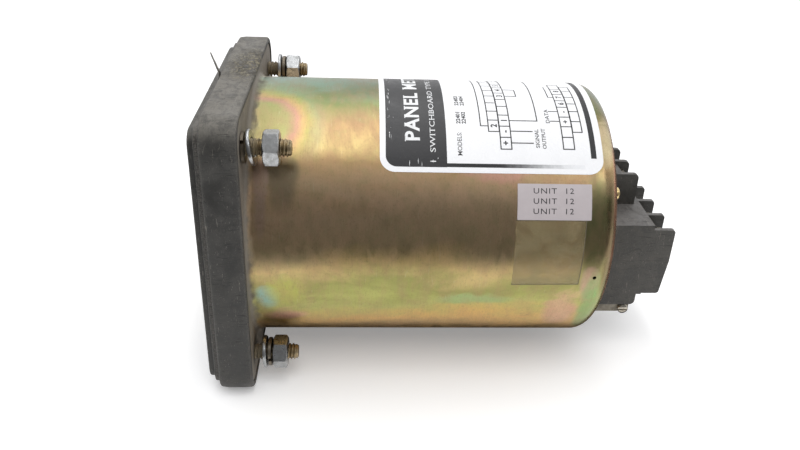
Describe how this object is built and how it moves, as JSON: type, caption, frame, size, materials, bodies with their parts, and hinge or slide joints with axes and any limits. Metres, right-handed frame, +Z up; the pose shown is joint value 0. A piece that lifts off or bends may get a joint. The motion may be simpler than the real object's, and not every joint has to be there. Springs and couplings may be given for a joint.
{
  "type": "analog dial electric meter",
  "caption": "Switchboard panel meter: square bezel with round dial and pointer, long plated steel barrel behind it, stud mounting and stacked rear screw terminals.",
  "frame": {"origin": "on the barrel's axis, in the plane of the bezel's rear rim, which is the face that lies on the panel", "axes": "+Y runs back along the barrel from the panel to the terminals and the dial faces -Y; +Z is up as the dial is read; +X is to the right of someone reading the dial"},
  "size_m": [0.111, 0.1812, 0.1179],
  "materials": {
    "bezel_phenolic": "matte",
    "cover_phenolic": "satin",
    "window_glass": "gloss",
    "gasket_rubber": "matte",
    "blackened_steel": "satin",
    "seal_wire_steel": "satin",
    "adjuster_plastic": "gloss",
    "spring_steel": "satin",
    "yellow_zinc": "satin",
    "stud_brass": "satin",
    "bright_zinc": "satin",
    "dark_steel": "satin",
    "label_stock": "matte",
    "clear_film": "gloss",
    "block_phenolic": "matte",
    "contact_brass": "satin",
    "nickel_plate": "satin",
    "screw_brass": "satin",
    "spacer_alloy": "satin",
    "board_green": "satin",
    "lamination_steel": "matte",
    "winding_tape": "satin",
    "ring_tape": "satin",
    "copper_wire": "satin",
    "capacitor_sleeve": "gloss",
    "chip_black": "satin",
    "connector_ivory": "satin",
    "ribbon_grey": "satin",
    "lead_red": "satin",
    "base_alloy": "satin",
    "soft_iron": "satin",
    "magnet_alloy": "matte",
    "bridge_brass": "satin",
    "spring_bronze": "satin",
    "pointer_black": "matte",
    "staff_steel": "polished",
    "dial_white": "matte"
  },
  "bodies": {
    "case": {"bezel": "bezel_phenolic", "front_cover": "cover_phenolic", "window": "window_glass", "window_gasket": "gasket_rubber", "cover_screws": "blackened_steel", "seal_wire": "seal_wire_steel", "case_can": "yellow_zinc", "mounting_flange": "yellow_zinc", "mounting_studs": "stud_brass", "small_nuts": "bright_zinc", "flat_washers": "bright_zinc", "lock_washers": "dark_steel", "stud_nuts": "bright_zinc", "wiring_label": "label_stock", "id_sticker": "label_stock", "clear_tail": "clear_film", "terminal_block_upper": "block_phenolic", "terminal_block_lower": "block_phenolic", "terminal_contacts": "contact_brass", "clamp_plates": "nickel_plate", "terminal_screws": "nickel_plate", "earth_tab": "bright_zinc", "earth_screw": "nickel_plate", "rear_screws": "screw_brass", "tie_rods": "bright_zinc", "spacer_tubes": "spacer_alloy", "chassis_plate": "bright_zinc", "power_board": "board_green", "main_board": "board_green", "transformer_core": "lamination_steel", "transformer_winding": "winding_tape", "current_transformers": "ring_tape", "primary_links": "copper_wire", "capacitors": "capacitor_sleeve", "logic_chips": "chip_black", "board_connectors": "connector_ivory", "ribbon_cable": "ribbon_grey", "movement_leads": "lead_red", "movement_base": "base_alloy", "movement_screws": "bright_zinc", "pole_ring": "soft_iron", "core_ring": "soft_iron", "magnet": "magnet_alloy", "rear_bridge": "base_alloy", "jewel_screws": "bridge_brass", "jewel_lock_nuts": "bridge_brass", "rear_hairspring": "spring_bronze", "bridge_posts": "bridge_brass", "front_bridge": "bridge_brass", "dial_plate": "dial_white", "dial_posts": "bright_zinc", "pointer_stops": "spring_steel"},
    "pointer_assembly": {"pointer": "pointer_black", "pointer_staff": "staff_steel", "moving_coil": "copper_wire", "balance_weight": "bridge_brass"},
    "zero_lever_group": {"zero_lever": "spring_bronze", "front_hairspring": "spring_bronze"},
    "adjuster_group": {"zero_adjuster": "adjuster_plastic", "adjuster_ring": "spring_steel"}
  },
  "joints": [
    {"name": "pointer_sweep", "type": "hinge", "parent": "case", "child": "pointer_assembly", "pos_m": [0, 0, 0], "axis": [0, 1, 0], "range_deg": [0, 250], "stiffness_Nm_per_rad": 0.000005, "springref_deg": -17.19},
    {"name": "zero_adjuster_turn", "type": "hinge", "parent": "case", "child": "adjuster_group", "pos_m": [0, -0.012, -0.04], "axis": [0, 1, 0], "range_deg": [-45, 45]},
    {"name": "zero_lever_turn", "type": "hinge", "parent": "case", "child": "zero_lever_group", "pos_m": [0, -0.011, 0], "axis": [0, 1, 0], "range_deg": [-2, 2]}
  ],
  "couplings": [
    {"joint": "zero_lever_turn", "follows": "zero_adjuster_turn", "ratio": -0.038}
  ]
}
